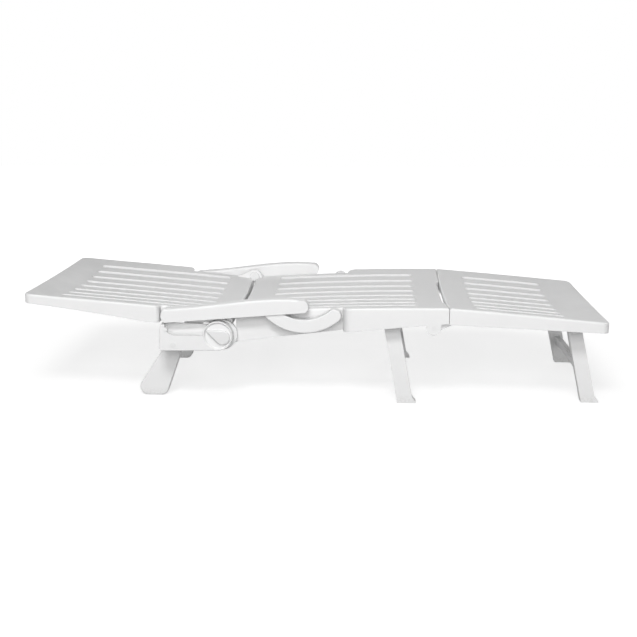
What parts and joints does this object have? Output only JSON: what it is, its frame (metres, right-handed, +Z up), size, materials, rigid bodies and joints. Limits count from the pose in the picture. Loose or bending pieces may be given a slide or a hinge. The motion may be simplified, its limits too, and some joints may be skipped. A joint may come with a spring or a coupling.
{
  "type": "reclining sun lounger",
  "caption": "Slotted moulded sun lounger: dished back, seat and leg rest panels hinged end to end, level armrests on curved links, and legs that fold under it.",
  "frame": {"origin": "on the floor, below the middle of the length and of the width", "axes": "+X from the head end to the foot end, +Y to the left of a person lying on it, +Z up"},
  "size_m": [1.9, 0.705, 0.3695],
  "materials": {
    "shell_plastic": "satin white polypropylene",
    "cap_plastic": "satin white polypropylene",
    "pin_plastic": "satin white nylon",
    "steel": "zinc plated"
  },
  "bodies": {
    "seat": {"seat_panel": "shell_plastic", "rear_carrier_left": "shell_plastic", "rear_carrier_right": "shell_plastic", "hub_cap_left": "cap_plastic", "hub_cap_right": "cap_plastic", "hub_bolts": "steel", "hub_nuts": "steel", "hip_pin_left": "pin_plastic", "hip_pin_right": "pin_plastic", "knee_pin_left": "pin_plastic", "knee_pin_right": "pin_plastic", "link_pin_left": "pin_plastic", "link_pin_right": "pin_plastic", "rear_leg_pin_left": "pin_plastic", "rear_leg_pin_right": "pin_plastic", "middle_leg_pin_left": "pin_plastic", "middle_leg_pin_right": "pin_plastic"},
    "backrest": {"backrest_panel": "shell_plastic"},
    "leg_rest": {"leg_rest_panel": "shell_plastic", "front_leg_pin_left": "pin_plastic", "front_leg_pin_right": "pin_plastic"},
    "middle_legs": {"middle_leg_frame": "shell_plastic"},
    "front_legs": {"front_leg_frame": "shell_plastic"},
    "armrest_left": {"armrest_left": "shell_plastic", "armrest_rear_pin_left": "pin_plastic", "armrest_front_pin_left": "pin_plastic"},
    "link_left": {"arm_link_left": "shell_plastic"},
    "rear_leg_left": {"rear_leg_left": "shell_plastic"},
    "armrest_right": {"armrest_right": "shell_plastic", "armrest_rear_pin_right": "pin_plastic", "armrest_front_pin_right": "pin_plastic"},
    "link_right": {"arm_link_right": "shell_plastic"},
    "rear_leg_right": {"rear_leg_right": "shell_plastic"}
  },
  "joints": [
    {"name": "hip", "type": "hinge", "parent": "seat", "child": "backrest", "pos_m": [-0.262, 0, 0.31], "axis": [0, 1, 0], "range_deg": [0, 130]},
    {"name": "knee", "type": "hinge", "parent": "seat", "child": "leg_rest", "pos_m": [0.389, 0, 0.27], "axis": [0, 1, 0], "range_deg": [0, 165]},
    {"name": "middle_legs_fold", "type": "hinge", "parent": "seat", "child": "middle_legs", "pos_m": [0.251, 0, 0.282], "axis": [0, 1, 0], "range_deg": [0, 94.5]},
    {"name": "front_legs_fold", "type": "hinge", "parent": "leg_rest", "child": "front_legs", "pos_m": [0.854, 0, 0.258], "axis": [0, 1, 0], "range_deg": [0, 97.5]},
    {"name": "armrest_left", "type": "hinge", "parent": "backrest", "child": "armrest_left", "pos_m": [-0.468, 0.3315, 0.318], "axis": [0, 1, 0], "range_deg": [-130, 0]},
    {"name": "link_left", "type": "hinge", "parent": "seat", "child": "link_left", "pos_m": [0.068, 0.3315, 0.305], "axis": [0, 1, 0], "range_deg": [0, 130]},
    {"name": "rear_leg_left", "type": "hinge", "parent": "seat", "child": "rear_leg_left", "pos_m": [-0.46, 0.235, 0.204], "axis": [0, 1, 0], "range_deg": [-100, 0]},
    {"name": "armrest_right", "type": "hinge", "parent": "backrest", "child": "armrest_right", "pos_m": [-0.468, -0.3315, 0.318], "axis": [0, 1, 0], "range_deg": [-130, 0]},
    {"name": "link_right", "type": "hinge", "parent": "seat", "child": "link_right", "pos_m": [0.068, -0.3315, 0.305], "axis": [0, 1, 0], "range_deg": [0, 130]},
    {"name": "rear_leg_right", "type": "hinge", "parent": "seat", "child": "rear_leg_right", "pos_m": [-0.46, -0.235, 0.204], "axis": [0, 1, 0], "range_deg": [-100, 0]}
  ],
  "couplings": [
    {"joint": "middle_legs_fold", "follows": "knee", "ratio": 0.5697},
    {"joint": "front_legs_fold", "follows": "knee", "ratio": 0.58788},
    {"joint": "armrest_left", "follows": "hip", "ratio": -1},
    {"joint": "link_left", "follows": "hip", "ratio": 1},
    {"joint": "armrest_right", "follows": "hip", "ratio": -1},
    {"joint": "link_right", "follows": "hip", "ratio": 1}
  ]
}
